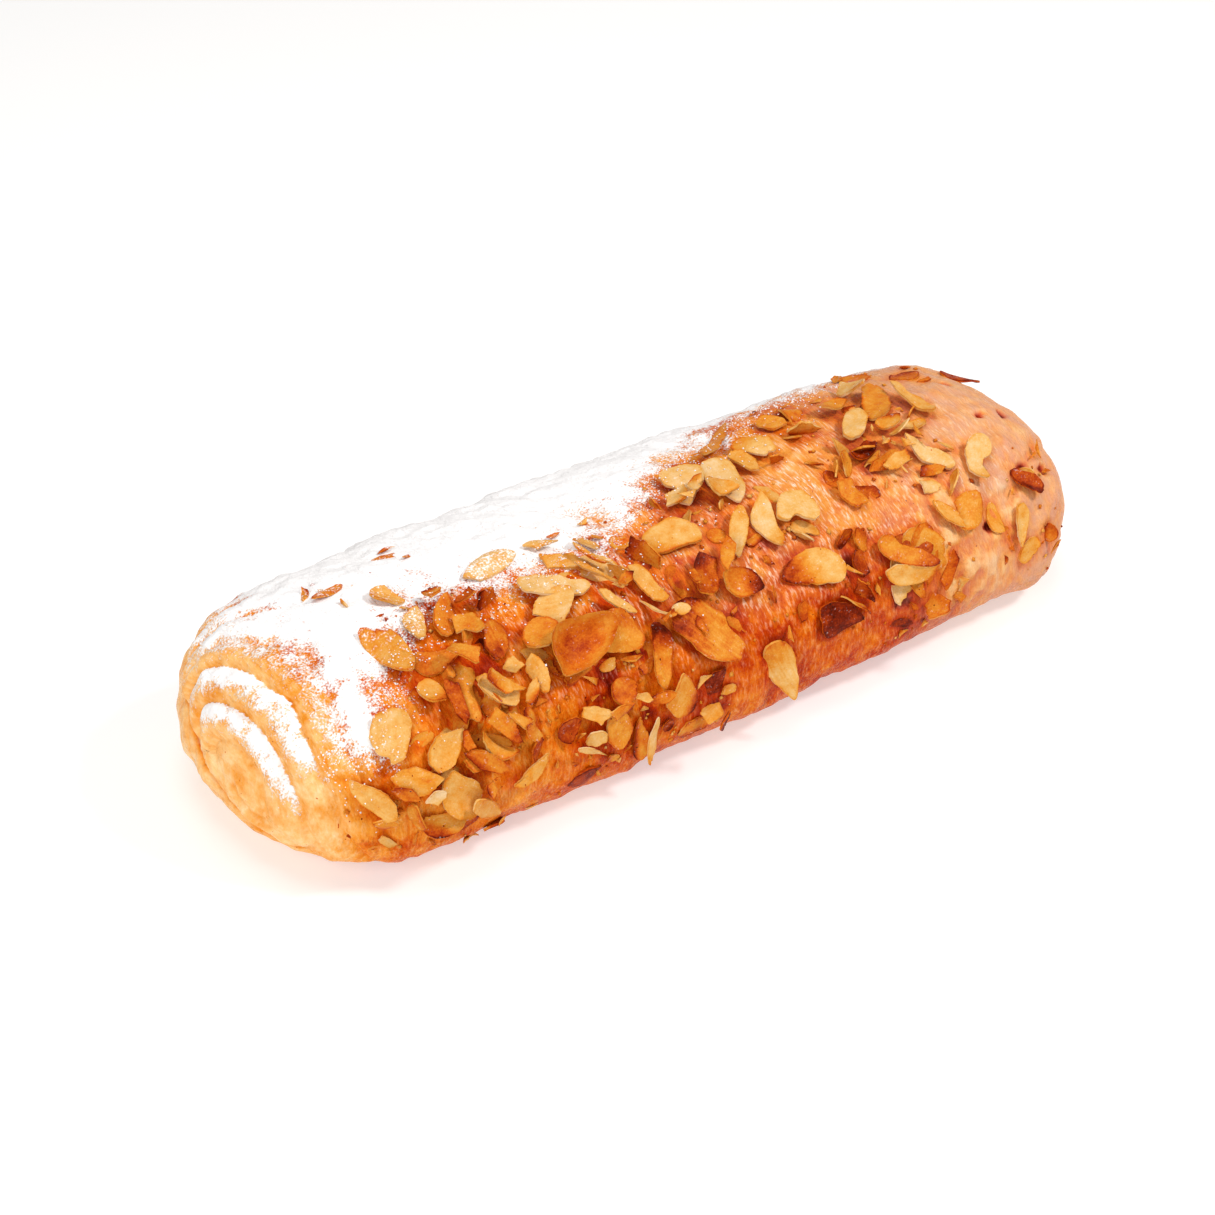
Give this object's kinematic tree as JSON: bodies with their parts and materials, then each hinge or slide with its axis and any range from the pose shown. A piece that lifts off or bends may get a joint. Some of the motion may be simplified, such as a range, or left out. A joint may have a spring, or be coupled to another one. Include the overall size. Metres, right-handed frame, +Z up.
{
  "type": "rolled strudel pastry",
  "caption": "Long baked pastry roll with rounded ends that show coiled layers, a glazed golden brown crust, flaked almonds on its top and front, and a dusting of icing sugar.",
  "frame": {"origin": "middle of the flat base that the roll rests on", "axes": "+X along the roll towards its blunt end, +Z up, -Y towards the front that carries most of the almonds"},
  "size_m": [0.265, 0.1053, 0.0593],
  "materials": {
    "crust": "egg-washed baked crust, satin gloss",
    "flake_pale": "pale flaked almond, satin",
    "flake_golden": "golden roasted flaked almond, satin",
    "flake_toasted": "brown roasted flaked almond, satin",
    "flake_dark": "flaked almond with dark brown skin, matte",
    "icing_sugar": "fine white powder, matte"
  },
  "bodies": {
    "root": {"pastry_roll": "crust", "almond_flake_01": "flake_pale", "almond_flake_02": "flake_pale", "almond_flake_03": "flake_pale", "almond_flake_04": "flake_pale", "almond_flake_05": "flake_pale", "almond_flake_06": "flake_golden", "almond_flake_07": "flake_golden", "almond_flake_08": "flake_dark", "almond_flake_09": "flake_pale", "almond_flake_10": "flake_toasted", "almond_flake_11": "flake_dark", "almond_flake_12": "flake_toasted", "almond_flake_13": "flake_toasted", "almond_flake_14": "flake_golden", "almond_flake_15": "flake_toasted", "almond_flake_16": "flake_golden", "almond_flake_17": "flake_golden", "almond_flake_18": "flake_golden", "almond_flake_19": "flake_pale", "almond_flake_20": "flake_golden", "almond_flake_21": "flake_golden", "almond_flake_22": "flake_golden", "almond_flake_23": "flake_golden", "almond_flake_24": "flake_pale", "almond_flake_25": "flake_pale", "almond_flake_26": "flake_golden", "almond_flake_27": "flake_toasted", "almond_flake_28": "flake_golden", "almond_flake_29": "flake_golden", "almond_flake_30": "flake_golden", "almond_flake_31": "flake_golden", "almond_flake_32": "flake_golden", "almond_flake_33": "flake_dark", "almond_flake_34": "flake_toasted", "almond_flake_35": "flake_pale", "almond_flake_36": "flake_toasted", "almond_flake_37": "flake_golden", "almond_flake_38": "flake_golden", "almond_flake_39": "flake_golden", "almond_flake_40": "flake_golden", "almond_flake_41": "flake_golden", "almond_flake_42": "flake_pale", "almond_flake_43": "flake_pale", "almond_flake_44": "flake_pale", "almond_flake_45": "flake_golden", "almond_flake_46": "flake_pale", "almond_flake_47": "flake_golden", "almond_flake_48": "flake_pale", "almond_flake_49": "flake_pale", "almond_flake_50": "flake_golden", "almond_flake_51": "flake_toasted", "almond_flake_52": "flake_pale"}
  },
  "joints": []
}
